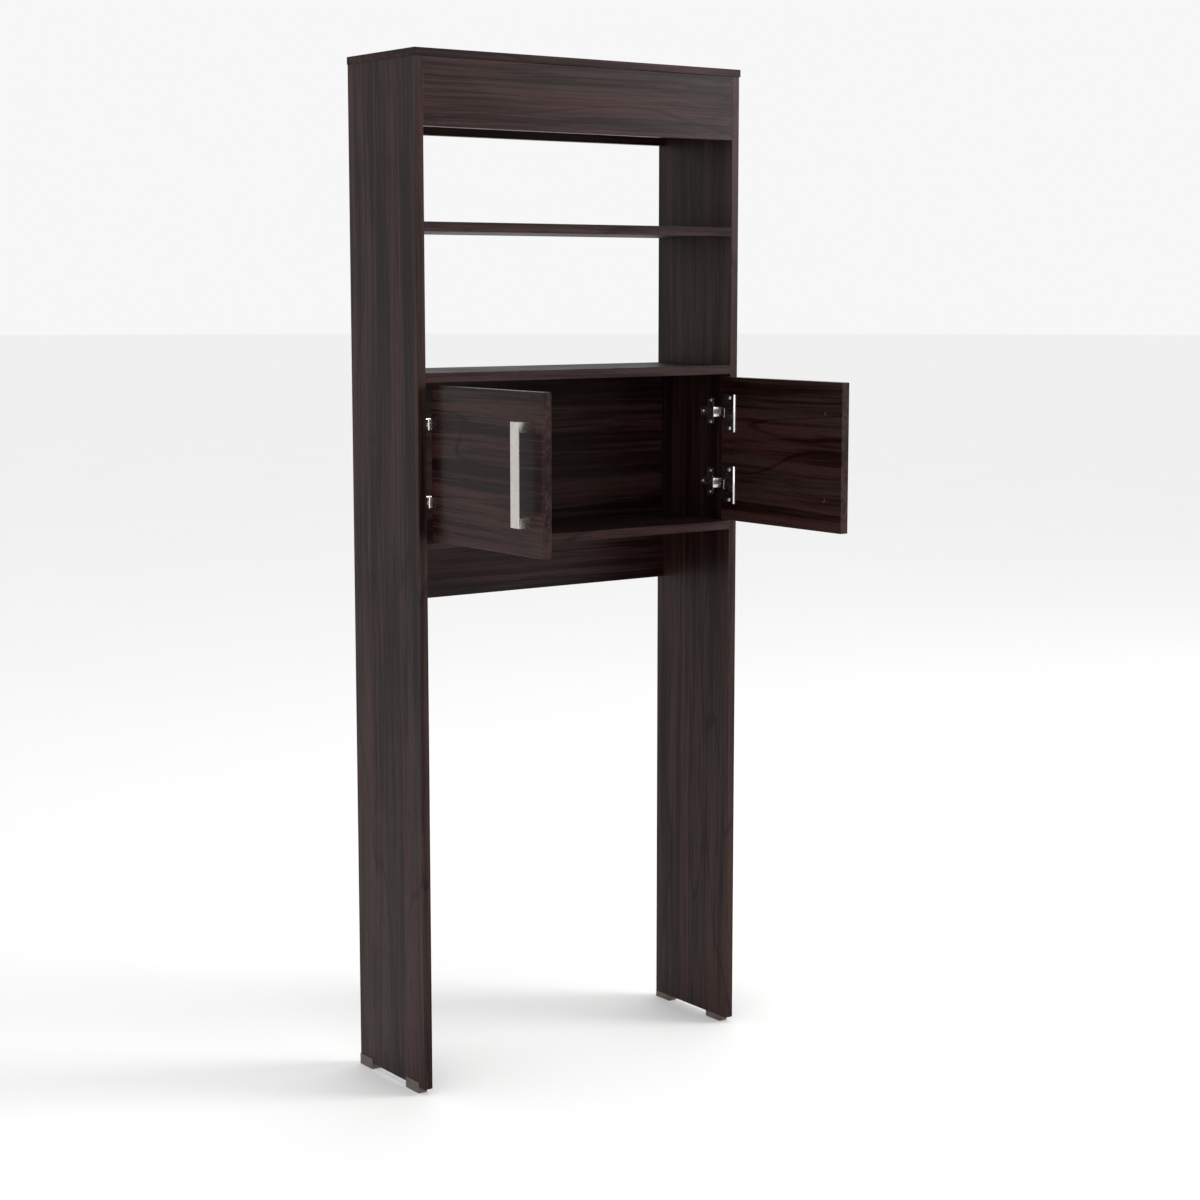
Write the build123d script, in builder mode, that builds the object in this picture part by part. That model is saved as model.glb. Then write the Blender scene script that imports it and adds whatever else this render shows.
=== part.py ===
from build123d import *
import os

# A storage rack that stands over a toilet: two tall side panels with shelves between them,
# and a cabinet with two inset doors. Millimetres. The origin is on the floor, at the middle
# of the rack's footprint: +X to the right, +Y towards the wall, +Z up.

os.makedirs("parts", exist_ok=True)

# ---- overall ----------------------------------------------------------------------------
height = 1650
width = 640
depth = 200
board = 15
top_board = 12
top_side_overhang = 1.2
top_front_overhang = 2
edge_ease = 0.6

# ---- levels, the shelves' measured down from the top ---------------------------------------
foot_height = 10
upper_shelf_drop = 261
middle_shelf_drop = 493
bottom_shelf_drop = 758
rail_height = 105
apron_height = 100

# ---- doors ------------------------------------------------------------------------------
door_side_gap = 2.5
door_centre_gap = 2.5
door_level_gap = 3.8

# ---- knock-down fittings ----------------------------------------------------------------
cam_radius = 7.5
cam_bore_depth = 12.5
cam_cap_thick = 1
cam_inset = 34
bolt_thread_radius = 3
bolt_thread_length = 9
bolt_bore_radius = 4
dowel_radius = 4
dowel_in_side = 10
dowel_in_board = 20
dowel_in_top = 8
shelf_cam_from_edge = 35
shelf_dowel_from_edge = 67
rail_dowel_offset = 32

# ---- cabinet back and wall fixing ---------------------------------------------------------
back_panel_thick = 3
back_panel_inset = 9
groove_depth = 4
wall_hole_radius = 2.75
wall_hole_spacing = 400

# ---- handles ----------------------------------------------------------------------------
handle_length = 156
handle_width = 20
handle_standoff = 23
handle_bar_thick = 3.5
handle_foot_length = 16
handle_from_free_edge = 31

# ---- hinges: a cranked arm on a cross plate, and a leaf that wraps the door's edge ----------
hinge_from_door_end = 60.5
pin_radius = 1.1
pin_clearance = 0.05
knuckle_radius = 2.2
pin_proud_of_front = 4.4
leaf_thick = 1.1
hinge_width = 16
middle_knuckle = 5.6
knuckle_gap = 0.3
arm_front_setback = 19
arm_back_setback = 72
arm_rise = 5.1
crank_rise = 19.5
crank_length = 9
crank_slope = 9
adjuster_setback = 45
sheet = 1.2
plate_front_setback = 34
plate_back_setback = 74
plate_screw_setback = 52
plate_screw_spacing = 37
wing_height = 49
wing_width = 17
flange_start = 5.3
flange_width = 31
flange_height = 63
flange_screw_from_edge = 20.3
flange_screw_spacing = 51
strap_on_door = 8.8
flange_lip = 2.2

# ---- feet -------------------------------------------------------------------------------
foot_length = 39
foot_wrap = 1.5
foot_flange = 8
front_foot_setback = 16.5
nail_radius = 1.2
nail_length = 24
nail_recess = 1

# ---- worked out from the sizes above ------------------------------------------------------
outer_x = width / 2
inner_x = outer_x - board
front_y = -depth / 2
back_y = depth / 2
panel_top = height - top_board
upper_shelf_top = height - upper_shelf_drop
middle_shelf_top = height - middle_shelf_drop
bottom_shelf_top = height - bottom_shelf_drop
apron_top = bottom_shelf_top - board
opening_bottom = bottom_shelf_top
opening_top = middle_shelf_top - board
door_bottom = opening_bottom + door_level_gap
door_top = opening_top - door_level_gap
door_height = door_top - door_bottom
door_middle = (door_bottom + door_top) / 2
door_width = (2 * inner_x - 2 * door_side_gap - door_centre_gap) / 2
hinge_levels = (door_bottom + hinge_from_door_end, door_top - hinge_from_door_end)

# The hinge pin stands in front of the gap beside the closed door, so its knuckles clear both.
pin_from_side = knuckle_radius
pin_x = -inner_x + pin_from_side
pin_y = front_y - pin_proud_of_front

# Round the pin, u runs along the closed door, v to the wall and w up.
door_edge_u = door_side_gap - pin_from_side
door_front_v = pin_proud_of_front
door_back_v = door_front_v + board
side_face_u = -pin_from_side

# The doors are drawn shut and stand open: closed +X is turned to -Y on the left side.
door_plane = Plane(origin=(pin_x, pin_y, 0), x_dir=(0, -1, 0), z_dir=(0, 0, 1))
hinge_planes = [Plane(origin=(pin_x, pin_y, z)) for z in hinge_levels]
open_hinge_planes = [door_plane.offset(z) for z in hinge_levels]


def save(piece, name):
    """Labels a finished piece and writes it as its own file."""
    piece.label = name
    export_step(piece, f"parts/{name}.step")


def block(x, y, z, mode=Mode.ADD):
    """A block between pairs of limits."""
    with Locations(((x[0] + x[1]) / 2, (y[0] + y[1]) / 2, (z[0] + z[1]) / 2)):
        Box(x[1] - x[0], y[1] - y[0], z[1] - z[0], mode=mode)


def drill(planes, radius, hole_depth):
    """Round holes, each running in from its plane against the plane's normal."""
    with Locations(*planes):
        Hole(radius, hole_depth)


def copies(template, planes):
    """The same piece set on each plane, as separate solids."""
    with Locations(*planes):
        add(template)


def pan_screw(radius, length, head_radius, head_height):
    """A cross-head screw: the head sits on the plane, the shank runs in against its normal."""
    with BuildPart() as screw:
        with BuildSketch(Plane.XZ):
            with BuildLine():
                Polyline(
                    (0, head_height),
                    (0, -length),
                    (0.4 * radius, -length),
                    (radius, -length + 1.5 * radius),
                    (radius, 0),
                    (head_radius, 0),
                    (head_radius, 0.35 * head_height),
                )
                TangentArc((0, head_height), (head_radius, 0.35 * head_height), tangent=(1, 0))
            make_face()
        revolve(axis=Axis.Z)
        with BuildSketch(Plane.XY.offset(head_height)):
            Rectangle(1.2 * head_radius, 0.24 * head_radius)
            Rectangle(0.24 * head_radius, 1.2 * head_radius)
        extrude(amount=-0.6 * head_height, mode=Mode.SUBTRACT)
    return screw.part


# ---- where boards meet the side panels ------------------------------------------------------
# Each crossing board: limits in Y and Z, and the way its cams face.
down = (0, 0, -1)
to_wall = (0, 1, 0)
crossing_boards = {
    "upper_shelf": ((front_y, back_y), (upper_shelf_top - board, upper_shelf_top), down),
    "middle_shelf": ((front_y, back_y), (middle_shelf_top - board, middle_shelf_top), down),
    "bottom_shelf": ((front_y, back_y), (bottom_shelf_top - board, bottom_shelf_top), down),
    "fascia": ((front_y, front_y + board), (panel_top - rail_height, panel_top), to_wall),
    "back_rail": ((back_y - board, back_y), (panel_top - rail_height, panel_top), to_wall),
    "back_apron": ((back_y - board, back_y), (apron_top - apron_height, apron_top), to_wall),
}


def fixing_points(y, z, cams_face):
    """The (Y, Z) of a board's cam bolts and of its dowels."""
    middle_y = (y[0] + y[1]) / 2
    middle_z = (z[0] + z[1]) / 2
    if cams_face == down:
        bolts = [(y[0] + shelf_cam_from_edge, middle_z), (y[1] - shelf_cam_from_edge, middle_z)]
        dowels = [(y[0] + shelf_dowel_from_edge, middle_z), (y[1] - shelf_dowel_from_edge, middle_z)]
    else:
        bolts = [(middle_y, middle_z)]
        dowels = [(middle_y, middle_z - rail_dowel_offset), (middle_y, middle_z + rail_dowel_offset)]
    return bolts, dowels


def into_board(side, y, z):
    """On a side panel's inner face, pointing into the crossing board."""
    return Plane(origin=(side * inner_x, y, z), z_dir=(-side, 0, 0))


def out_of_board(side, y, z):
    """The same place, pointing out of the crossing board's end."""
    return Plane(origin=(side * inner_x, y, z), z_dir=(side, 0, 0))


def cam_plane(side, y, z, cams_face):
    """On the board's face over a cam, with X towards the bolt's mouth."""
    reach = board / 2
    centre = (side * (inner_x - cam_inset), y + cams_face[1] * reach, z + cams_face[2] * reach)
    return Plane(origin=centre, x_dir=(side, 0, 0), z_dir=cams_face)


side_bolts = {-1: [], 1: []}
side_dowels = {-1: [], 1: []}
cams = []
for y_limits, z_limits, cams_face in crossing_boards.values():
    bolt_points, dowel_points = fixing_points(y_limits, z_limits, cams_face)
    for side in (-1, 1):
        side_bolts[side] += [into_board(side, y, z) for y, z in bolt_points]
        side_dowels[side] += [into_board(side, y, z) for y, z in dowel_points]
        cams += [cam_plane(side, y, z, cams_face) for y, z in bolt_points]

# The top panel is bolted down into the side panels' upper ends.
top_bolt_ys = (front_y + shelf_cam_from_edge, back_y - shelf_cam_from_edge)
top_dowel_ys = (front_y + shelf_dowel_from_edge, back_y - shelf_dowel_from_edge)


def top_joint(side, y, up, shift=0):
    """On top of a side panel, pointing up out of it or down into it."""
    return Plane(origin=(side * (inner_x + board / 2), y, panel_top + shift), z_dir=(0, 0, up))


top_bolts = [top_joint(side, y, -1) for side in (-1, 1) for y in top_bolt_ys]
top_dowel_shift = dowel_in_top - dowel_in_side
top_dowels = [top_joint(side, y, -1, top_dowel_shift) for side in (-1, 1) for y in top_dowel_ys]
top_cams = [
    Plane(origin=(side * inner_x, y, panel_top - cam_inset), x_dir=(0, 0, 1), z_dir=(-side, 0, 0))
    for side in (-1, 1)
    for y in top_bolt_ys
]
cams += top_cams

# ---- where the feet stand -------------------------------------------------------------------
front_foot = (front_y + front_foot_setback, front_y + front_foot_setback + foot_length)
back_foot = (back_y - foot_length, back_y)
nail_planes = [
    Plane(origin=(side * (inner_x + board / 2), (y[0] + y[1]) / 2, nail_recess), z_dir=(0, 0, -1))
    for side in (-1, 1)
    for y in (front_foot, back_foot)
]
nail_head_thick = 1.2
nail_head_radius = 3

# ---- where the hinge plates are screwed -------------------------------------------------------
hinge_screw_points = [
    (front_y + plate_screw_setback, z + offset)
    for z in hinge_levels
    for offset in (-plate_screw_spacing / 2, plate_screw_spacing / 2)
]
plate_screw_radius = 2
plate_screw_length = 12

# ---- cabinet back ---------------------------------------------------------------------------
groove_y = (back_y - back_panel_inset - back_panel_thick, back_y - back_panel_inset)
groove_z = (opening_bottom - groove_depth, opening_top + groove_depth)
groove_x = (-inner_x - groove_depth, inner_x + groove_depth)

# ---- side panels ----------------------------------------------------------------------------
for side, side_name in ((-1, "left"), (1, "right")):
    x_limits = sorted((side * inner_x, side * outer_x))
    with BuildPart() as side_panel:
        block(x_limits, (front_y, back_y), (foot_height, panel_top))
        fillet(side_panel.edges().filter_by(Axis.Z), edge_ease)
        drill(side_bolts[side], bolt_thread_radius, bolt_thread_length)
        drill(side_dowels[side], dowel_radius, dowel_in_side)
        drill([top_joint(side, y, 1) for y in top_bolt_ys], bolt_bore_radius, cam_inset)
        top_dowel_depth = dowel_in_side + dowel_in_board - dowel_in_top
        drill([top_joint(side, y, 1) for y in top_dowel_ys], dowel_radius, top_dowel_depth)
        drill([plane for plane in top_cams if plane.origin.X * side > 0], cam_radius, cam_bore_depth)
        plate_screw_holes = [into_board(side, y, z) for y, z in hinge_screw_points]
        drill(plate_screw_holes, plate_screw_radius, plate_screw_length)
        nail_holes = [
            Plane(origin=(plane.origin.X, plane.origin.Y, foot_height), z_dir=(0, 0, -1))
            for plane in nail_planes
            if plane.origin.X * side > 0
        ]
        drill(nail_holes, nail_radius, nail_recess + nail_length - foot_height)
        groove_in_side = sorted((side * inner_x, side * (inner_x + groove_depth)))
        block(groove_in_side, groove_y, groove_z, mode=Mode.SUBTRACT)
    save(side_panel.part, f"{side_name}_side_panel")

# ---- top panel ------------------------------------------------------------------------------
with BuildPart() as top_panel:
    top_x = outer_x + top_side_overhang
    block((-top_x, top_x), (front_y - top_front_overhang, back_y), (panel_top, height))
    fillet(top_panel.edges(), edge_ease)
    drill(top_bolts, bolt_thread_radius, bolt_thread_length)
    top_dowel_holes = [top_joint(side, y, -1) for side in (-1, 1) for y in top_dowel_ys]
    drill(top_dowel_holes, dowel_radius, dowel_in_top)
save(top_panel.part, "top_panel")

# ---- shelves, fascia, back rail and apron -----------------------------------------------------
for name, (y_limits, z_limits, cams_face) in crossing_boards.items():
    bolt_points, dowel_points = fixing_points(y_limits, z_limits, cams_face)
    with BuildPart() as crossing_board:
        block((-inner_x, inner_x), y_limits, z_limits)
        fillet(crossing_board.edges().filter_by(Axis.X), edge_ease)
        for side in (-1, 1):
            drill([out_of_board(side, y, z) for y, z in bolt_points], bolt_bore_radius, cam_inset)
            drill([out_of_board(side, y, z) for y, z in dowel_points], dowel_radius, dowel_in_board)
            cam_bores = [cam_plane(side, y, z, cams_face) for y, z in bolt_points]
            drill(cam_bores, cam_radius, cam_bore_depth)
        if name in ("middle_shelf", "bottom_shelf"):
            block((-inner_x, inner_x), groove_y, groove_z, mode=Mode.SUBTRACT)
        if name == "back_rail":
            wall_holes = [
                Plane(origin=(x, back_y, (z_limits[0] + z_limits[1]) / 2), z_dir=to_wall)
                for x in (-wall_hole_spacing / 2, wall_hole_spacing / 2)
            ]
            drill(wall_holes, wall_hole_radius, board)
    save(crossing_board.part, name)

# ---- cabinet back, in grooves all round -------------------------------------------------------
with BuildPart() as cabinet_back:
    block(groove_x, groove_y, groove_z)
save(cabinet_back.part, "cabinet_back")

# ---- cam bolts, cam locks, cover caps and dowels ------------------------------------------------
with BuildPart() as cam_bolt:
    with BuildSketch(Plane.XZ):
        with BuildLine():
            thread_root = 0.8 * bolt_thread_radius
            Polyline(
                (0, -bolt_thread_length),
                (thread_root, -bolt_thread_length),
                (bolt_thread_radius, -0.75 * bolt_thread_length),
                (thread_root, -0.75 * bolt_thread_length),
                (bolt_thread_radius, -0.45 * bolt_thread_length),
                (thread_root, -0.45 * bolt_thread_length),
                (bolt_thread_radius, -0.15 * bolt_thread_length),
                (bolt_thread_radius, 0),
                (3.6, 0),
                (3.6, 1.5),
                (2.5, 1.5),
                (2.5, cam_inset - 11),
                (1.75, cam_inset - 10),
                (1.75, cam_inset - 3),
                (3.1, cam_inset - 3),
                (3.1, cam_inset + 0.4),
                (2.3, cam_inset + 1.2),
                (0, cam_inset + 1.2),
                (0, -bolt_thread_length),
            )
        make_face()
    revolve(axis=Axis.Z)
with BuildPart() as cam_bolts:
    copies(cam_bolt.part, side_bolts[-1] + side_bolts[1] + top_bolts)
save(cam_bolts.part, "cam_bolts")

with BuildPart() as cam_lock:
    with BuildSketch(Plane.XY.offset(-cam_bore_depth)):
        Circle(cam_radius)
    extrude(amount=cam_bore_depth - cam_cap_thick)
    with BuildSketch(Plane(origin=(-1.8, 0, -board / 2), z_dir=(1, 0, 0))):
        Circle(3.5)
    extrude(amount=cam_radius + 2, mode=Mode.SUBTRACT)
    with BuildSketch(Plane.XY.offset(-cam_cap_thick)):
        Rectangle(8, 1.4)
        Rectangle(1.4, 8)
    extrude(amount=-1.6, mode=Mode.SUBTRACT)
with BuildPart() as cam_locks:
    copies(cam_lock.part, cams)
save(cam_locks.part, "cam_locks")

with BuildPart() as cam_cap:
    with BuildSketch(Plane.XY.offset(-cam_cap_thick)):
        Circle(cam_radius)
    extrude(amount=cam_cap_thick)
    fillet(cam_cap.edges().group_by(Axis.Z)[-1], 0.4)
with BuildPart() as cam_caps:
    copies(cam_cap.part, cams)
save(cam_caps.part, "cam_caps")

with BuildPart() as dowel:
    with BuildSketch(Plane.XY.offset(-dowel_in_side)):
        Circle(dowel_radius)
    extrude(amount=dowel_in_side + dowel_in_board)
    chamfer(dowel.edges(), 0.8)
with BuildPart() as dowels:
    copies(dowel.part, side_dowels[-1] + side_dowels[1] + top_dowels)
save(dowels.part, "dowels")

# ---- doors ----------------------------------------------------------------------------------
door_u = (door_edge_u, door_edge_u + door_width)
handle_u = (door_u[1] - handle_from_free_edge - handle_width, door_u[1] - handle_from_free_edge)
handle_middle_u = (handle_u[0] + handle_u[1]) / 2
handle_screw_spacing = handle_length - handle_foot_length
handle_screw_radius = 2
handle_screw_bite = 9
flange_screw_radius = 1.75
flange_screw_length = 12


def on_door(u, v, z, facing):
    """A place on the left door, facing the cabinet (1) or out of the front (-1)."""
    return Plane(origin=door_plane.from_local_coords((u, v, z)), z_dir=door_plane.y_dir * facing)


handle_screw_levels = (door_middle - handle_screw_spacing / 2, door_middle + handle_screw_spacing / 2)
handle_screw_planes = [on_door(handle_middle_u, door_back_v, z, 1) for z in handle_screw_levels]
flange_screw_u = door_edge_u + flange_screw_from_edge
flange_screw_levels = [
    z + offset for z in hinge_levels for offset in (-flange_screw_spacing / 2, flange_screw_spacing / 2)
]
flange_hole_planes = [on_door(flange_screw_u, door_back_v, z, 1) for z in flange_screw_levels]

with BuildPart() as left_door:
    with BuildSketch(door_plane.offset(door_bottom)):
        with Locations(((door_u[0] + door_u[1]) / 2, (door_front_v + door_back_v) / 2)):
            Rectangle(door_width, board)
    extrude(amount=door_height)
    fillet(left_door.edges(), edge_ease)
    drill(handle_screw_planes, handle_screw_radius, board)
    drill(flange_hole_planes, flange_screw_radius, flange_screw_length)
save(left_door.part, "left_door")

# A bar with two square feet, one solid, screwed on from behind the door.
with BuildPart() as left_handle:
    handle_side = Plane(
        origin=door_plane.from_local_coords((handle_u[0], door_front_v, door_middle)),
        x_dir=door_plane.y_dir * -1,
        z_dir=door_plane.x_dir,
    )
    with BuildSketch(handle_side):
        with Locations((handle_standoff / 2, 0)):
            Rectangle(handle_standoff, handle_length)
        with Locations(((handle_standoff - handle_bar_thick) / 2, 0)):
            finger_gap = handle_length - 2 * handle_foot_length
            Rectangle(handle_standoff - handle_bar_thick, finger_gap, mode=Mode.SUBTRACT)
    extrude(amount=handle_width)
    bar_edges = left_handle.edges().group_by(Axis(door_plane.origin, door_plane.y_dir))[0]
    fillet(bar_edges, 1)
    handle_holes = [on_door(handle_middle_u, door_front_v, z, 1) for z in handle_screw_levels]
    with Locations(*handle_holes):
        Hole(handle_screw_radius, handle_screw_bite)
save(left_handle.part, "left_handle")

with BuildPart() as left_handle_screws:
    copies(pan_screw(handle_screw_radius, board + handle_screw_bite, 3.8, 2.4), handle_screw_planes)
save(left_handle_screws.part, "left_handle_screws")

# ---- hinges, frame side -----------------------------------------------------------------------
# Setbacks from the front of the rack, in the v of the hinge pin.
arm_v = (pin_proud_of_front + arm_front_setback, pin_proud_of_front + arm_back_setback)
plate_v = (pin_proud_of_front + plate_front_setback, pin_proud_of_front + plate_back_setback)
plate_screw_v = pin_proud_of_front + plate_screw_setback
plate_top_u = side_face_u + leaf_thick
arm_top_u = plate_top_u + arm_rise
clamp_v = arm_v[1] - 5.5
adjuster_v = pin_proud_of_front + adjuster_setback
clamp_radius = 1.9
half_width = hinge_width / 2
outer_knuckle = (hinge_width - middle_knuckle) / 2 - knuckle_gap

with BuildPart() as mounting_plate:
    with BuildSketch(Plane(origin=(side_face_u, 0, 0), x_dir=(0, 1, 0), z_dir=(1, 0, 0))):
        with Locations(((plate_v[0] + plate_v[1]) / 2, 0)):
            RectangleRounded(plate_v[1] - plate_v[0], hinge_width, 2)
        with Locations((plate_screw_v, 0)):
            RectangleRounded(wing_width, wing_height, 5)
        with Locations((clamp_v, 0)):
            Circle(clamp_radius, mode=Mode.SUBTRACT)
        with Locations((plate_screw_v, -plate_screw_spacing / 2), (plate_screw_v, plate_screw_spacing / 2)):
            Circle(plate_screw_radius, mode=Mode.SUBTRACT)
    extrude(amount=leaf_thick)

with BuildPart() as strap_arm:
    # the strap that lies on the side panel and reaches through the gap beside the door
    block((side_face_u, plate_top_u), (0, plate_v[0]), (-half_width, half_width))
    # the channel over the mounting plate, cranked up behind the closed door
    for wall, mode in ((0, Mode.ADD), (sheet, Mode.SUBTRACT)):
        with BuildSketch(Plane.XY):
            with BuildLine():
                crank_top_u = plate_top_u + crank_rise - wall
                crank_back_v = arm_v[0] + crank_length
                Polyline(
                    (plate_top_u, arm_v[0] + wall),
                    (crank_top_u, arm_v[0] + wall),
                    (crank_top_u, crank_back_v),
                    (arm_top_u - wall, crank_back_v + crank_slope),
                    (arm_top_u - wall, arm_v[1]),
                    (plate_top_u, arm_v[1]),
                    close=True,
                )
            make_face()
        extrude(amount=half_width - wall, both=True, mode=mode)
    crank_corners = strap_arm.edges().group_by(Axis.X)[-1]
    fillet(crank_corners, 0.9)
    # knuckles round the pin, with room between them for the door's knuckle
    with BuildSketch(Plane.XY.offset(-half_width)):
        Circle(knuckle_radius)
    extrude(amount=hinge_width)
    middle_room = middle_knuckle / 2 + knuckle_gap
    room = (-knuckle_radius - 1, knuckle_radius + 1)
    block(room, (-knuckle_radius - 1, knuckle_radius + 0.4), (-middle_room, middle_room), mode=Mode.SUBTRACT)
    with BuildSketch(Plane.XY.offset(-half_width)):
        Circle(pin_radius)
    extrude(amount=hinge_width, mode=Mode.SUBTRACT)
    with BuildSketch(Plane(origin=(arm_top_u, 0, 0), x_dir=(0, 1, 0), z_dir=(1, 0, 0))):
        with Locations((clamp_v, 0), (adjuster_v, 0)):
            Circle(clamp_radius)
    extrude(amount=-sheet, mode=Mode.SUBTRACT)

with BuildPart() as hinge_pin:
    with BuildSketch(Plane.XY.offset(-half_width)):
        Circle(pin_radius)
    extrude(amount=hinge_width)
    with BuildSketch(Plane.XY.offset(half_width)):
        Circle(pin_radius + 0.7)
    extrude(amount=0.8, taper=20)
    with BuildSketch(Plane.XY.offset(-half_width)):
        Circle(pin_radius + 0.4)
    extrude(amount=-0.6, taper=20)

clamp_screw = pan_screw(clamp_radius, arm_rise + leaf_thick, 3.4, 1.8)
adjusting_screw = pan_screw(clamp_radius, arm_rise, 2.9, 1.2)
plate_screw = pan_screw(plate_screw_radius, plate_screw_length + leaf_thick, 3.8, 1.8)


def on_hinge(plane, u, v, w):
    """A place on a hinge, facing away from the side panel."""
    return Plane(origin=plane.from_local_coords((u, v, w)), z_dir=(1, 0, 0))


fixed_hinge_parts = {
    "hinge_mounting_plates": (mounting_plate.part, hinge_planes),
    "hinge_arms": (strap_arm.part, hinge_planes),
    "hinge_pins": (hinge_pin.part, hinge_planes),
    "hinge_clamp_screws": (clamp_screw, [on_hinge(p, arm_top_u, clamp_v, 0) for p in hinge_planes]),
    "hinge_adjusting_screws": (
        adjusting_screw,
        [on_hinge(p, arm_top_u, adjuster_v, 0) for p in hinge_planes],
    ),
    "hinge_plate_screws": (
        plate_screw,
        [
            on_hinge(p, plate_top_u, plate_screw_v, w)
            for p in hinge_planes
            for w in (-plate_screw_spacing / 2, plate_screw_spacing / 2)
        ],
    ),
}
for name, (template, planes) in fixed_hinge_parts.items():
    with BuildPart() as hinge_part:
        copies(template, planes)
        mirror(about=Plane.YZ)
    save(hinge_part.part, name)

# ---- hinges, door side ------------------------------------------------------------------------
leaf_u = (door_edge_u - leaf_thick, door_edge_u)
leaf_v = (door_back_v, door_back_v + sheet)
flange_u = (door_edge_u + flange_start, door_edge_u + flange_start + flange_width)

with BuildPart() as door_leaf:
    # round the door's edge
    block(leaf_u, (knuckle_radius + 0.4, leaf_v[1]), (-half_width, half_width))
    block(leaf_u, (0, leaf_v[1]), (-middle_knuckle / 2, middle_knuckle / 2))
    with BuildSketch(Plane.XY.offset(-middle_knuckle / 2)):
        Circle(knuckle_radius)
    extrude(amount=middle_knuckle)
    # across the door's back to the flange
    block((leaf_u[0], flange_u[0] + 1), leaf_v, (-half_width, half_width))
    strap_end = door_edge_u + strap_on_door
    block((door_edge_u + 1, strap_end), (leaf_v[1], leaf_v[1] + sheet), (-half_width, half_width))
    block(flange_u, leaf_v, (-flange_height / 2, flange_height / 2))
    lip_u = (flange_u[1] - flange_lip, flange_u[1])
    block(lip_u, (leaf_v[1], leaf_v[1] + flange_lip - 0.3), (-flange_height / 2, flange_height / 2))
    lip_corner = door_leaf.edges().filter_by(Axis.Z).sort_by(Axis((0, 0, 0), (1, 1, 0)))[-1]
    chamfer(lip_corner, flange_lip - 0.4)
    boss_u = (strap_end, flange_u[1] - 5)
    block(boss_u, (leaf_v[1], leaf_v[1] + 0.8), (-0.8 * hinge_width, 0.8 * hinge_width))
    fillet(door_leaf.edges().filter_by(Axis.Y).sort_by(Axis.X)[-4:], 0.5)
    with BuildSketch(Plane.XY.offset(-middle_knuckle / 2)):
        Circle(pin_radius + pin_clearance)
    extrude(amount=middle_knuckle, mode=Mode.SUBTRACT)
    with BuildSketch(Plane(origin=(0, leaf_v[1] + 1, 0), x_dir=(1, 0, 0), z_dir=(0, 1, 0))):
        with Locations((flange_screw_u, 0)):
            with GridLocations(0, flange_screw_spacing, 1, 2):
                Circle(flange_screw_radius)
    extrude(amount=-2 * sheet - 1, mode=Mode.SUBTRACT)

with BuildPart() as left_hinge_leaves:
    copies(door_leaf.part, open_hinge_planes)
save(left_hinge_leaves.part, "left_hinge_leaves")

with BuildPart() as left_leaf_screws:
    flange_screw = pan_screw(flange_screw_radius, flange_screw_length + sheet, 3.3, 1.8)
    copies(flange_screw, [on_door(flange_screw_u, leaf_v[1], z, 1) for z in flange_screw_levels])
save(left_leaf_screws.part, "left_leaf_screws")

# ---- the right door and all that is on it mirror the left --------------------------------------
left_pieces = {
    "right_door": left_door.part,
    "right_handle": left_handle.part,
    "right_handle_screws": left_handle_screws.part,
    "right_hinge_leaves": left_hinge_leaves.part,
    "right_leaf_screws": left_leaf_screws.part,
}
for name, left_piece in left_pieces.items():
    with BuildPart() as right_piece:
        mirror(left_piece, about=Plane.YZ)
    save(right_piece.part, name)

# ---- feet and their nails -----------------------------------------------------------------------
with BuildPart() as corner_feet:
    for y_limits in (front_foot, back_foot):
        block((-outer_x - foot_wrap, -inner_x), y_limits, (0, foot_height))
        block((-outer_x - foot_wrap, -outer_x), y_limits, (foot_height, foot_height + foot_flange))
    outer_edges = corner_feet.edges().group_by(Axis.X)[0]
    fillet(outer_edges, 0.9)
    foot_undersides = [
        Plane(origin=(plane.origin.X, plane.origin.Y, 0), z_dir=(0, 0, -1))
        for plane in nail_planes
        if plane.origin.X < 0
    ]
    with Locations(*foot_undersides):
        CounterBoreHole(nail_radius, nail_head_radius, nail_recess + nail_head_thick, foot_height)
    mirror(about=Plane.YZ)
save(corner_feet.part, "corner_feet")

with BuildPart() as foot_nail:
    with BuildSketch(Plane.XY.offset(-nail_head_thick)):
        Circle(nail_head_radius)
    extrude(amount=nail_head_thick)
    with BuildSketch(Plane.XY.offset(-nail_length)):
        Circle(nail_radius)
    extrude(amount=nail_length)
with BuildPart() as foot_nails:
    copies(foot_nail.part, nail_planes)
save(foot_nails.part, "foot_nails")
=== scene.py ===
import math

import bmesh
import bpy
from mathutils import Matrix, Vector


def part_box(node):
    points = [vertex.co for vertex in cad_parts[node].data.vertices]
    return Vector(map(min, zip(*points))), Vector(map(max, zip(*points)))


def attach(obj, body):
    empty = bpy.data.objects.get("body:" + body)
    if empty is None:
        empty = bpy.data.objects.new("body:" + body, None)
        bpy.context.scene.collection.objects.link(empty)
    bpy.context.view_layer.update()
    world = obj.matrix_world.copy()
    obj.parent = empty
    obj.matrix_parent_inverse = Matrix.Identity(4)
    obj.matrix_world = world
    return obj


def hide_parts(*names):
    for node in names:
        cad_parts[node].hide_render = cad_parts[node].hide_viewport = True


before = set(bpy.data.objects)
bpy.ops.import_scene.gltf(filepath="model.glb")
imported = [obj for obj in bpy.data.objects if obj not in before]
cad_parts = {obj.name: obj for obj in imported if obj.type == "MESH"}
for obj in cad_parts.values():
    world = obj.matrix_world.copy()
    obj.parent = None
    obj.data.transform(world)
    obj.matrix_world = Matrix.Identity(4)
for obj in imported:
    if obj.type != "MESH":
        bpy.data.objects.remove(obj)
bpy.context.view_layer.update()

MM = 0.001

# How far two places may differ and still count as one.
TOUCHING = 0.1 * MM

# Boards: the edge band's thickness, which is also how far wear reaches in from a corner.
EDGE_BAND = 1.1 * MM
JOINT_LINE = 0.22 * MM

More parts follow.
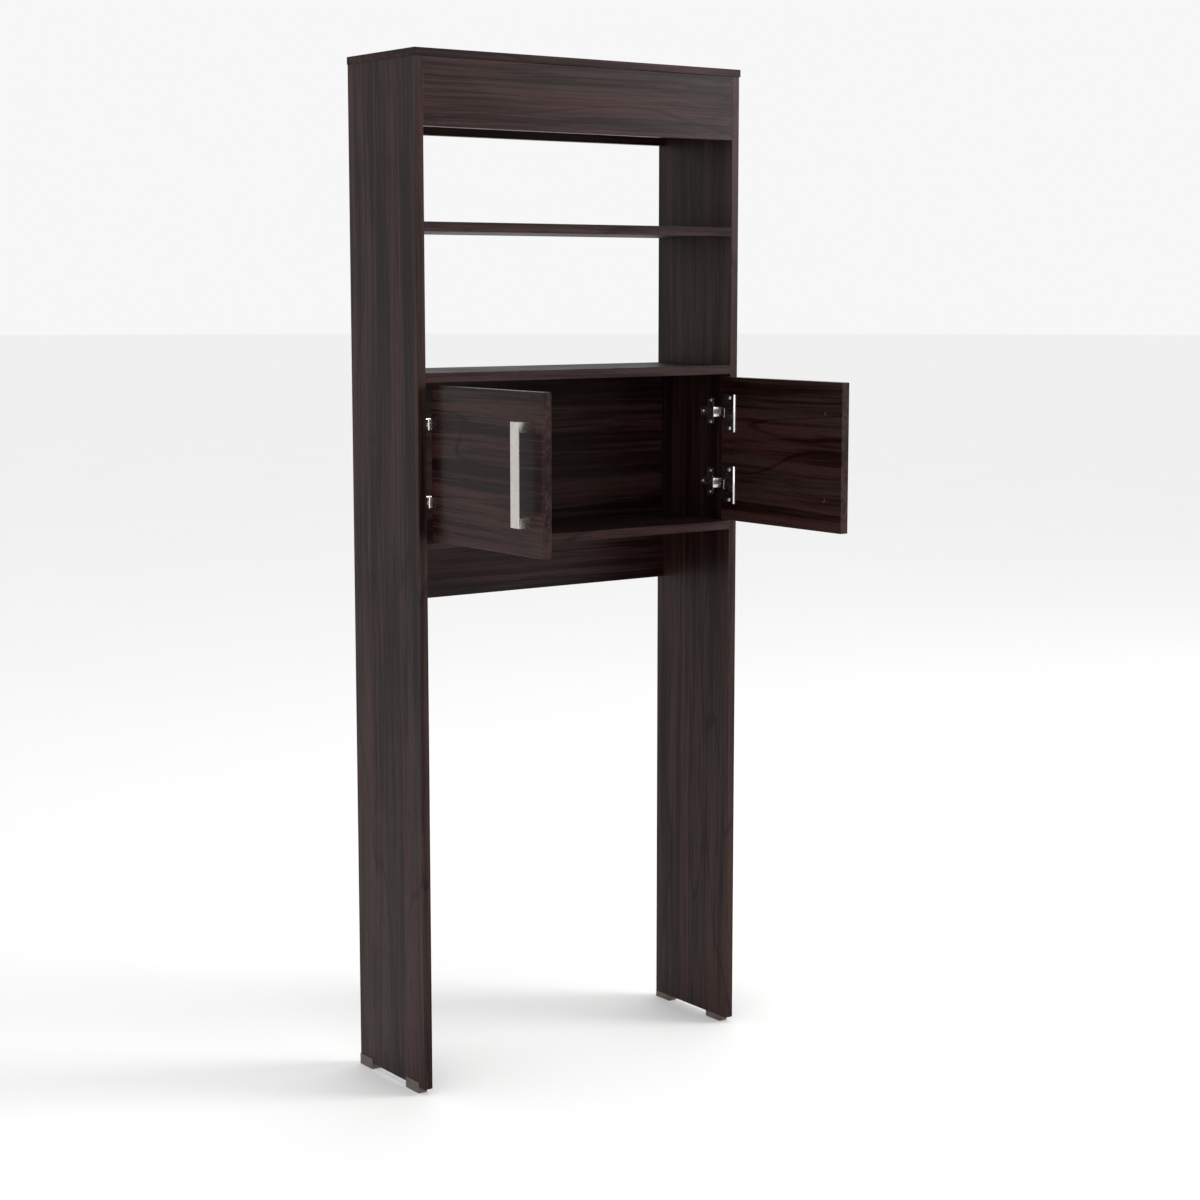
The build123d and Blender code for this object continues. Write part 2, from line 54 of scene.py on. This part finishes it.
# Handles: a flat bar bent into two feet.
BAR_THICK = 3.5 * MM
FOOT_HEIGHT = 16 * MM
OUTER_BEND = 1.6 * MM
INNER_BEND = 2.0 * MM
BROKEN_EDGE = 0.45 * MM

FLOOR_RADIUS = 60.0

# The carcass and each door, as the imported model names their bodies.
CARCASS = "carcass"
DOOR_BODIES = {"left": "left_door_body", "right": "right_door_body"}


# ---- building shader trees ----------------------------------------------------------------


def place(tree, kind, inputs=None, **settings):
    """Adds a shader node, sets it up, and links or fills its inputs by name or number."""
    made = tree.nodes.new(kind)
    for name, value in settings.items():
        setattr(made, name, value)
    for name, value in (inputs or {}).items():
        if isinstance(value, bpy.types.NodeSocket):
            tree.links.new(value, made.inputs[name])
        else:
            made.inputs[name].default_value = value
    return made


def sum_up(tree, operation, *values, clamp=False):
    """One Math node."""
    made = place(tree, "ShaderNodeMath", dict(enumerate(values)), operation=operation, use_clamp=clamp)
    return made.outputs[0]


def combine(tree, operation, *values):
    """One Vector Math node."""
    made = place(tree, "ShaderNodeVectorMath", dict(enumerate(values)), operation=operation)
    return made.outputs[0]


def remap(tree, value, low, high, to_low=0.0, to_high=1.0):
    """A smooth step of value between two limits."""
    inputs = {"Value": value, "From Min": low, "From Max": high, "To Min": to_low, "To Max": to_high}
    return place(tree, "ShaderNodeMapRange", inputs, interpolation_type="SMOOTHSTEP").outputs[0]


def tint(tree, amount, first, second):
    """Mixes two colours."""
    made = place(tree, "ShaderNodeMix", {0: amount, 6: first, 7: second}, data_type="RGBA")
    return made.outputs[2]


def noise(tree, vector, stretch, detail=2.0, roughness=0.5):
    """Noise on a vector stretched by three factors, per metre."""
    stretched = combine(tree, "MULTIPLY", vector, stretch)
    inputs = {"Vector": stretched, "Scale": 1.0, "Detail": detail, "Roughness": roughness}
    return place(tree, "ShaderNodeTexNoise", inputs)


KINDS = {"vector": "NodeSocketVector", "colour": "NodeSocketColor", "number": "NodeSocketFloat"}


def start_group(name, inputs, outputs):
    """A shader node group with named sockets. Returns its tree, its input node and its output node."""
    tree = bpy.data.node_groups.new(name, "ShaderNodeTree")
    for label, kind in inputs:
        tree.interface.new_socket(name=label, in_out="INPUT", socket_type=KINDS[kind])
    for label, kind in outputs:
        tree.interface.new_socket(name=label, in_out="OUTPUT", socket_type=KINDS[kind])
    return tree, tree.nodes.new("NodeGroupInput"), tree.nodes.new("NodeGroupOutput")


def use_group(tree, group, inputs):
    """Places a node group in a material."""
    made = tree.nodes.new("ShaderNodeGroup")
    made.node_tree = group
    for name, value in inputs.items():
        if isinstance(value, bpy.types.NodeSocket):
            tree.links.new(value, made.inputs[name])
        else:
            made.inputs[name].default_value = value
    return made


# ---- effects that several finishes share ----------------------------------------------------


def make_wood_grain():
    """Straight dark figure along X: soft bands, fine streaks, short pores and a few thin growth lines."""
    tree, given, result = start_group(
        "wood_grain",
        [("Vector", "vector"), ("Dark", "colour"), ("Warm", "colour"), ("Cool", "colour")],
        [("Color", "colour"), ("Pores", "number"), ("Relief", "number")],
    )
    wander = noise(tree, given.outputs["Vector"], (2.2, 7.0, 7.0), 2.0)
    centred = combine(tree, "SUBTRACT", wander.outputs["Color"], (0.5, 0.5, 0.5))
    sway = combine(tree, "MULTIPLY", centred, (0.0, 0.016, 0.016))
    vector = combine(tree, "ADD", given.outputs["Vector"], sway)

    bands = noise(tree, vector, (1.4, 30.0, 30.0), 3.0).outputs["Fac"]
    figure = noise(tree, vector, (2.4, 135.0, 135.0), 3.0, 0.6).outputs["Fac"]
    streaks = noise(tree, vector, (5.0, 430.0, 430.0), 4.0, 0.7).outputs["Fac"]
    patches = noise(tree, vector, (1.6, 64.0, 64.0), 3.0, 0.6).outputs["Fac"]
    dashes = noise(tree, vector, (26.0, 1150.0, 1150.0), 2.0).outputs["Fac"]
    rings = noise(tree, vector, (1.1, 8.5, 8.5), 1.0).outputs["Fac"]
    off_ring = sum_up(tree, "ABSOLUTE", sum_up(tree, "SUBTRACT", rings, 0.5))
    ring_line = remap(tree, off_ring, 0.0, 0.009, 1.0, 0.0)

    wide = sum_up(tree, "MULTIPLY", bands, 0.34)
    middle = sum_up(tree, "MULTIPLY_ADD", figure, 0.36, wide)
    tone = sum_up(tree, "MULTIPLY_ADD", streaks, 0.30, middle)
    pores = remap(tree, dashes, 0.57, 0.68)

    hue = remap(tree, patches, 0.38, 0.62)
    light = tint(tree, hue, given.outputs["Warm"], given.outputs["Cool"])
    lightness = remap(tree, tone, 0.43, 0.57)
    drawn = sum_up(tree, "MULTIPLY", ring_line, -0.55)
    shade = sum_up(tree, "ADD", lightness, drawn, clamp=True)
    wood = tint(tree, shade, given.outputs["Dark"], light)
    pore_colour = combine(tree, "MULTIPLY", given.outputs["Dark"], (0.45, 0.45, 0.45))
    pore_depth = sum_up(tree, "MULTIPLY", pores, 0.6)
    tree.links.new(tint(tree, pore_depth, wood, pore_colour), result.inputs["Color"])
    tree.links.new(pores, result.inputs["Pores"])
    hollows = sum_up(tree, "MULTIPLY", pores, -0.7)
    tree.links.new(sum_up(tree, "ADD", streaks, hollows), result.inputs["Relief"])
    return tree


def make_board_edges():
    """Where a board's faces meet: rubbed corners, and the fine joint beside its edge band."""
    tree, given, result = start_group(
        "board_edges",
        [("Vector", "vector"), ("Low", "vector"), ("High", "vector"), ("Width", "number")],
        [("Wear", "number"), ("Seam", "number")],
    )
    from_low = combine(tree, "SUBTRACT", given.outputs["Vector"], given.outputs["Low"])
    from_high = combine(tree, "SUBTRACT", given.outputs["High"], given.outputs["Vector"])
    inset = combine(tree, "MINIMUM", from_low, from_high)
    split = place(tree, "ShaderNodeSeparateXYZ", {0: inset})
    x, y, z = split.outputs[:3]
    smaller = sum_up(tree, "MINIMUM", x, y)
    larger = sum_up(tree, "MAXIMUM", x, y)
    from_edge = sum_up(tree, "MAXIMUM", smaller, sum_up(tree, "MINIMUM", larger, z))

    chips = noise(tree, given.outputs["Vector"], (55.0, 55.0, 55.0), 5.0, 0.7).outputs["Fac"]
    rub = remap(tree, chips, 0.42, 0.68)
    fade = {"Value": from_edge, "From Max": given.outputs["Width"], "To Min": 1.0, "To Max": 0.0}
    nearness = place(tree, "ShaderNodeMapRange", fade).outputs[0]
    tree.links.new(sum_up(tree, "MULTIPLY", nearness, rub), result.inputs["Wear"])
    off_line = sum_up(tree, "ABSOLUTE", sum_up(tree, "SUBTRACT", from_edge, EDGE_BAND))
    tree.links.new(remap(tree, off_line, 0.0, JOINT_LINE, 1.0, 0.0), result.inputs["Seam"])
    return tree


def make_handling_marks():
    """Wiped smears and finger marks, and a little dust on what faces up."""
    tree, given, result = start_group(
        "handling_marks", [("Vector", "vector")], [("Smear", "number"), ("Dust", "number")]
    )
    wipes = noise(tree, given.outputs["Vector"], (4.0, 4.0, 9.0), 3.0, 0.6).outputs["Fac"]
    touches = noise(tree, given.outputs["Vector"], (38.0, 38.0, 38.0), 2.0).outputs["Fac"]
    broad = remap(tree, wipes, 0.35, 0.70)
    small = remap(tree, touches, 0.52, 0.72)
    tree.links.new(sum_up(tree, "MULTIPLY_ADD", small, 0.4, broad, clamp=True), result.inputs["Smear"])
    facing = place(tree, "ShaderNodeNewGeometry")
    up = place(tree, "ShaderNodeSeparateXYZ", {0: facing.outputs["Normal"]}).outputs[2]
    level = remap(tree, up, 0.8, 1.0)
    specks = noise(tree, given.outputs["Vector"], (260.0, 260.0, 260.0), 3.0, 0.7).outputs["Fac"]
    settled = remap(tree, specks, 0.45, 0.80)
    tree.links.new(sum_up(tree, "MULTIPLY", level, settled), result.inputs["Dust"])
    return tree


def make_metal_surface():
    """Fine lines along X with small scratches and cloudy patches, for plated and brushed metal."""
    tree, given, result = start_group(
        "metal_surface",
        [("Vector", "vector")],
        [("Lines", "number"), ("Clouds", "number"), ("Scratches", "number")],
    )
    lines = noise(tree, given.outputs["Vector"], (60.0, 5200.0, 5200.0), 3.0, 0.7).outputs["Fac"]
    clouds = noise(tree, given.outputs["Vector"], (90.0, 90.0, 90.0), 4.0, 0.6).outputs["Fac"]
    marks = noise(tree, given.outputs["Vector"], (240.0, 900.0, 2600.0), 2.0).outputs["Fac"]
    tree.links.new(lines, result.inputs["Lines"])
    tree.links.new(remap(tree, clouds, 0.35, 0.68), result.inputs["Clouds"])
    tree.links.new(remap(tree, marks, 0.62, 0.74), result.inputs["Scratches"])
    return tree


def make_moulded_surface():
    """The soft pebble and slow colour drift of a small moulded piece."""
    tree, given, result = start_group(
        "moulded_surface", [("Vector", "vector")], [("Pebble", "number"), ("Drift", "number")]
    )
    pebble = noise(tree, given.outputs["Vector"], (1600.0, 1600.0, 1600.0), 2.0).outputs["Fac"]
    drift = noise(tree, given.outputs["Vector"], (70.0, 70.0, 70.0), 3.0, 0.6).outputs["Fac"]
    tree.links.new(pebble, result.inputs["Pebble"])
    tree.links.new(remap(tree, drift, 0.35, 0.68), result.inputs["Drift"])
    return tree


WOOD_GRAIN = make_wood_grain()
BOARD_EDGES = make_board_edges()
HANDLING_MARKS = make_handling_marks()
METAL_SURFACE = make_metal_surface()
MOULDED_SURFACE = make_moulded_surface()


# ---- finishes -------------------------------------------------------------------------------


def start_finish(name):
    """A material with a Principled BSDF. Returns it, its tree, the shader and Object coordinates."""
    finish = bpy.data.materials.new(name)
    finish.use_nodes = True
    tree = finish.node_tree
    shader = tree.nodes["Principled BSDF"]
    coordinates = place(tree, "ShaderNodeTexCoord").outputs["Object"]
    return finish, tree, shader, coordinates


def raise_surface(tree, shader, height, strength, distance):
    """Feeds a height to the shader's normal through a Bump node."""
    inputs = {"Strength": strength, "Distance": distance, "Height": height}
    bump = place(tree, "ShaderNodeBump", inputs)
    tree.links.new(bump.outputs["Normal"], shader.inputs["Normal"])


# Turns that lay a pattern's X along the part's own X, Y or Z.
ALONG = {
    "X": (0.0, 0.0, 0.0),
    "Y": (0.0, 0.0, math.radians(-90)),
    "Z": (0.0, math.radians(90), 0.0),
}


def laid_along(tree, coordinates, axis, shift=(0.0, 0.0, 0.0)):
    """Object coordinates turned so that X runs along an axis, and moved so that pieces differ."""
    inputs = {"Vector": coordinates, "Location": shift, "Rotation": ALONG[axis]}
    return place(tree, "ShaderNodeMapping", inputs, vector_type="POINT").outputs[0]


def melamine(node, axis, number, dark, warm, cool, base_roughness):
    """Printed wood-grain melamine on a board, with its grain along an axis."""
    finish, tree, shader, coordinates = start_finish(f"melamine_{node}")
    low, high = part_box(node)
    shift = (0.37 * number, 0.113 * number, 0.071 * number)
    vector = laid_along(tree, coordinates, axis, shift)
    grain = use_group(tree, WOOD_GRAIN, {"Vector": vector, "Dark": dark, "Warm": warm, "Cool": cool})
    edges = use_group(
        tree, BOARD_EDGES, {"Vector": coordinates, "Low": low, "High": high, "Width": EDGE_BAND}
    )
    marks = use_group(tree, HANDLING_MARKS, {"Vector": coordinates})

    worn = (0.060, 0.034, 0.026, 1.0)
    joint_dark = (0.006, 0.005, 0.005, 1.0)
    dust = (0.30, 0.29, 0.27, 1.0)
    wear = sum_up(tree, "MULTIPLY", edges.outputs["Wear"], 0.55)
    colour = tint(tree, wear, grain.outputs["Color"], worn)
    seam = sum_up(tree, "MULTIPLY", edges.outputs["Seam"], 0.5)
    colour = tint(tree, seam, colour, joint_dark)
    dusty = sum_up(tree, "MULTIPLY", marks.outputs["Dust"], 0.05)
    colour = tint(tree, dusty, colour, dust)
    tree.links.new(colour, shader.inputs["Base Color"])

    rough = sum_up(tree, "MULTIPLY_ADD", marks.outputs["Smear"], 0.10, base_roughness)
    rough = sum_up(tree, "MULTIPLY_ADD", grain.outputs["Pores"], 0.14, rough)
    rough = sum_up(tree, "MULTIPLY_ADD", edges.outputs["Wear"], 0.22, rough)
    rough = sum_up(tree, "MULTIPLY_ADD", marks.outputs["Dust"], 0.12, rough)
    tree.links.new(rough, shader.inputs["Roughness"])

    height = sum_up(tree, "MULTIPLY_ADD", edges.outputs["Seam"], -1.2, grain.outputs["Relief"])
    raise_surface(tree, shader, height, 0.22, 0.12 * MM)
    shader.inputs["IOR"].default_value = 1.47
    shader.inputs["Specular IOR Level"].default_value = 0.13
    return finish


def metal(name, colour, shadow, rough, axis="Z", line_depth=0.10, cloud=0.10):
    """Plated or brushed metal, with its lines along an axis."""
    finish, tree, shader, coordinates = start_finish(name)
    vector = laid_along(tree, coordinates, axis)
    surface = use_group(tree, METAL_SURFACE, {"Vector": vector})
    clouded = sum_up(tree, "MULTIPLY", surface.outputs["Clouds"], 0.5)
    base = tint(tree, clouded, colour, shadow)
    tree.links.new(base, shader.inputs["Base Color"])
    roughness = sum_up(tree, "MULTIPLY_ADD", surface.outputs["Clouds"], cloud, rough)
    roughness = sum_up(tree, "MULTIPLY_ADD", surface.outputs["Scratches"], 0.12, roughness)
    tree.links.new(roughness, shader.inputs["Roughness"])
    height = sum_up(tree, "MULTIPLY_ADD", surface.outputs["Scratches"], -0.6, surface.outputs["Lines"])
    raise_surface(tree, shader, height, line_depth, 0.03 * MM)
    shader.inputs["Metallic"].default_value = 1.0
    return finish


def moulded(name, colour, faded, rough, depth=0.25):
    """Moulded plastic or rubber."""
    finish, tree, shader, coordinates = start_finish(name)
    surface = use_group(tree, MOULDED_SURFACE, {"Vector": coordinates})
    marks = use_group(tree, HANDLING_MARKS, {"Vector": coordinates})
    base = tint(tree, surface.outputs["Drift"], colour, faded)
    tree.links.new(base, shader.inputs["Base Color"])
    roughness = sum_up(tree, "MULTIPLY_ADD", marks.outputs["Smear"], 0.15, rough)
    tree.links.new(roughness, shader.inputs["Roughness"])
    raise_surface(tree, shader, surface.outputs["Pebble"], depth, 0.06 * MM)
    return finish


def bare_beech():
    """The dowels' unfinished beech."""
    finish, tree, shader, coordinates = start_finish("bare_beech")
    vector = laid_along(tree, coordinates, "X")
    grain = use_group(
        tree,
        WOOD_GRAIN,
        {
            "Vector": vector,
            "Dark": (0.42, 0.27, 0.14, 1.0),
            "Warm": (0.66, 0.47, 0.28, 1.0),
            "Cool": (0.60, 0.44, 0.27, 1.0),
        },
    )
    tree.links.new(grain.outputs["Color"], shader.inputs["Base Color"])
    roughness = sum_up(tree, "MULTIPLY_ADD", grain.outputs["Pores"], 0.2, 0.6)
    tree.links.new(roughness, shader.inputs["Roughness"])
    raise_surface(tree, shader, grain.outputs["Relief"], 0.4, 0.1 * MM)
    return finish


# ---- pieces -----------------------------------------------------------------------------------


def finish_node(node, finish):
    """Gives a CAD node its finish."""
    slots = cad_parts[node].data.materials
    slots.clear()
    slots.append(finish)


def keep_piece(name, bm, finish, body, node):
    """Turns a bmesh into a piece that rides a body and stands for a CAD node."""
    mesh = bpy.data.meshes.new(name)
    for face in bm.faces:
        face.smooth = True
    for edge in bm.edges:
        edge.smooth = edge.calc_face_angle(0.0) < math.radians(40)
    bm.to_mesh(mesh)
    bm.free()
    mesh.materials.append(finish)
    piece = bpy.data.objects.new(name, mesh)
    bpy.context.scene.collection.objects.link(piece)
    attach(piece, body)
    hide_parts(node)
    return piece


def eased_copy(node, body, finish, easing):
    """A copy of a small metal or plastic node with its sharp edges broken."""
    bm = bmesh.new()
    bm.from_mesh(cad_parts[node].data)
    bmesh.ops.remove_doubles(bm, verts=bm.verts, dist=0.002 * MM)
    bmesh.ops.dissolve_limit(bm, angle_limit=math.radians(1), verts=bm.verts, edges=bm.edges)
    sharp = [edge for edge in bm.edges if edge.calc_face_angle(0.0) > math.radians(40)]
    bmesh.ops.bevel(
        bm,
        geom=sharp,
        offset=easing,
        offset_type="OFFSET",
        segments=2,
        profile=0.5,
        affect="EDGES",
        clamp_overlap=True,
        material=-1,
    )
    return keep_piece(f"{node}_eased", bm, finish, body, node)


def bar_handle(side, finish):
    """A flat bar bent into two feet, with rounded bends and broken edges."""
    node = f"{side}_handle"
    low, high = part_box(node)
    bar_x = low.x if side == "left" else high.x
    door_x = high.x if side == "left" else low.x
    inwards = 1 if side == "left" else -1
    inner_x = bar_x + inwards * BAR_THICK
    outline = [
        (door_x, low.z),
        (bar_x, low.z),
        (bar_x, high.z),
        (door_x, high.z),
        (door_x, high.z - FOOT_HEIGHT),
        (inner_x, high.z - FOOT_HEIGHT),
        (inner_x, low.z + FOOT_HEIGHT),
        (door_x, low.z + FOOT_HEIGHT),
    ]
    bm = bmesh.new()
    side_face = bm.faces.new([bm.verts.new((x, low.y, z)) for x, z in outline])
    grown = bmesh.ops.extrude_face_region(bm, geom=[side_face])
    far_side = [item for item in grown["geom"] if isinstance(item, bmesh.types.BMVert)]
    bmesh.ops.translate(bm, verts=far_side, vec=(0, high.y - low.y, 0))
    bmesh.ops.recalc_face_normals(bm, faces=bm.faces)

    def bends(reach):
        """The edges across the bar at the outer corners, or at the feet's inner corners."""
        across = []
        for edge in bm.edges:
            first, second = (vert.co for vert in edge.verts)
            if abs(first.y - second.y) > 5 * MM and abs(first.x - reach) < TOUCHING:
                across.append(edge)
        return across

    def round_off(edges, radius, segments):
        bmesh.ops.bevel(
            bm,
            geom=edges,
            offset=radius,
            offset_type="OFFSET",
            segments=segments,
            profile=0.5,
            affect="EDGES",
            clamp_overlap=True,
            material=-1,
        )

    round_off(bends(bar_x), OUTER_BEND, 5)
    round_off(bends(inner_x), INNER_BEND, 5)
    def on_door(edge):
        return all(abs(vert.co.x - door_x) < TOUCHING for vert in edge.verts)

    sharp = [edge for edge in bm.edges if edge.calc_face_angle(0.0) > math.radians(60)]
    round_off([edge for edge in sharp if not on_door(edge)], BROKEN_EDGE, 3)
    return keep_piece(f"{side}_bar_handle", bm, finish, DOOR_BODIES[side], node)


# ---- the rack's own finishes --------------------------------------------------------------------

espresso_dark = (0.0080, 0.0024, 0.0021, 1.0)
espresso_warm = (0.0390, 0.0150, 0.0148, 1.0)
espresso_cool = (0.0290, 0.0168, 0.0130, 1.0)

board_grain = {
    "left_side_panel": "Z",
    "right_side_panel": "Z",
    "top_panel": "X",
    "fascia": "X",
    "back_rail": "X",
    "upper_shelf": "X",
    "middle_shelf": "X",
    "bottom_shelf": "X",
    "back_apron": "X",
    "cabinet_back": "X",
    "left_door": "Y",
    "right_door": "Y",
}
# The doors' fronts are a little glossier, and the faces that things stand on are duller.
for number, (node, axis) in enumerate(board_grain.items()):
    roughness = 0.30
    if node.endswith("_door"):
        roughness = 0.24
    elif node.endswith("_shelf") or node == "top_panel":
        roughness = 0.46
    finish_node(node, melamine(node, axis, number, espresso_dark, espresso_warm, espresso_cool, roughness))

satin_nickel = metal("satin_nickel", (0.60, 0.58, 0.55, 1.0), (0.50, 0.48, 0.45, 1.0), 0.24, "Z")
nickel = (0.72, 0.70, 0.66, 1.0)
dull_nickel = (0.58, 0.55, 0.50, 1.0)
bright_nickel = metal("bright_nickel", nickel, dull_nickel, 0.14, "Y", 0.05, 0.14)
zinc_screw = metal("zinc_screw", (0.66, 0.65, 0.62, 1.0), (0.50, 0.48, 0.45, 1.0), 0.22, "X", 0.08)
black_screw = metal("black_screw", (0.050, 0.040, 0.038, 1.0), (0.030, 0.024, 0.023, 1.0), 0.38, "X", 0.12)
yellow_zinc = metal("yellow_zinc", (0.58, 0.50, 0.32, 1.0), (0.45, 0.40, 0.30, 1.0), 0.30, "X")
cast_zinc = metal("cast_zinc", (0.46, 0.46, 0.45, 1.0), (0.34, 0.34, 0.33, 1.0), 0.45, "X", 0.30)
foot_brown = moulded("foot_brown", (0.072, 0.054, 0.043, 1.0), (0.092, 0.071, 0.058, 1.0), 0.5)
cap_brown = moulded("cap_brown", (0.040, 0.028, 0.024, 1.0), (0.055, 0.040, 0.033, 1.0), 0.45)

for node, finish in {
    "cam_bolts": yellow_zinc,
    "cam_locks": cast_zinc,
    "dowels": bare_beech(),
    "foot_nails": zinc_screw,
}.items():
    finish_node(node, finish)

eased_pieces = [
    ("hinge_mounting_plates", CARCASS, "hinge_steel", bright_nickel, 0.18 * MM),
    ("hinge_arms", CARCASS, "hinge_steel", bright_nickel, 0.16 * MM),
    ("hinge_pins", CARCASS, "hinge_steel", bright_nickel, 0.10 * MM),
    ("hinge_clamp_screws", CARCASS, "screw_steel", zinc_screw, 0.08 * MM),
    ("hinge_adjusting_screws", CARCASS, "screw_steel", zinc_screw, 0.08 * MM),
    ("hinge_plate_screws", CARCASS, "screw_steel", zinc_screw, 0.08 * MM),
    ("corner_feet", CARCASS, "foot_plastic", foot_brown, 0.50 * MM),
    ("cam_caps", CARCASS, "cap_plastic", cap_brown, 0.08 * MM),
]
for side, body in DOOR_BODIES.items():
    eased_pieces += [
        (f"{side}_hinge_leaves", body, "hinge_steel", bright_nickel, 0.18 * MM),
        (f"{side}_leaf_screws", body, "screw_steel", zinc_screw, 0.08 * MM),
        (f"{side}_handle_screws", body, "dark_screw", black_screw, 0.08 * MM),
    ]
    bar_handle(side, satin_nickel)
for node, body, slot, finish, easing in eased_pieces:
    eased_copy(node, body, finish, easing)


# ---- floor, light and camera --------------------------------------------------------------------


def lay_floor():
    """A plain pale floor, wide enough that its far edge is out of sight."""
    bm = bmesh.new()
    bmesh.ops.create_circle(bm, cap_ends=True, segments=96, radius=FLOOR_RADIUS)
    mesh = bpy.data.meshes.new("studio_floor")
    bm.to_mesh(mesh)
    bm.free()
    finish, tree, shader, coordinates = start_finish("pale_floor")
    clouds = noise(tree, coordinates, (1.5, 1.5, 1.5), 3.0).outputs["Fac"]
    pale = tint(tree, clouds, (0.92, 0.92, 0.915, 1.0), (0.94, 0.94, 0.935, 1.0))
    tree.links.new(pale, shader.inputs["Base Color"])
    shader.inputs["Roughness"].default_value = 0.7
    mesh.materials.append(finish)
    floor = bpy.data.objects.new("studio_floor", mesh)
    bpy.context.scene.collection.objects.link(floor)


def light_studio():
    """A pale surround, one broad key light to the right of the camera, and softer lights round it."""
    world = bpy.data.worlds.new("studio_surround")
    bpy.context.scene.world = world
    world.use_nodes = True
    background = world.node_tree.nodes["Background"]
    background.inputs["Color"].default_value = (1.0, 1.0, 1.0, 1.0)
    background.inputs["Strength"].default_value = 0.93
    lamps = [
        ("key_light", (3.9, -2.9, 2.5), (0.0, 0.0, 1.1), 2.2, 142.0),
        ("left_fill", (-3.2, -3.4, 1.8), (0.0, 0.0, 1.0), 2.6, 21.0),
        ("overhead", (0.0, -0.4, 4.2), (0.0, 0.0, 0.8), 2.4, 12.0),
    ]
    for name, spot, target, size, power in lamps:
        light = bpy.data.lights.new(name, "AREA")
        light.shape = "DISK"
        light.size = size
        light.energy = power
        lamp = bpy.data.objects.new(name, light)
        lamp.location = spot
        lamp.rotation_mode = "QUATERNION"
        lamp.rotation_quaternion = (Vector(target) - Vector(spot)).to_track_quat("-Z", "Y")
        bpy.context.scene.collection.objects.link(lamp)


def set_camera():
    """Eye height, to the left of the rack, looking a little down."""
    data = bpy.data.cameras.new("studio_camera")
    data.sensor_width = 36.0
    data.lens = 69.42
    data.shift_y = -0.01
    camera = bpy.data.objects.new("studio_camera", data)
    camera.location = (-2.2183, -3.1481, 1.2905)
    camera.rotation_euler = (math.radians(90 - 7.433), 0.0, math.radians(-36.408))
    bpy.context.scene.collection.objects.link(camera)
    bpy.context.scene.camera = camera


lay_floor()
light_studio()
set_camera()
bpy.context.scene.view_settings.view_transform = "Standard"
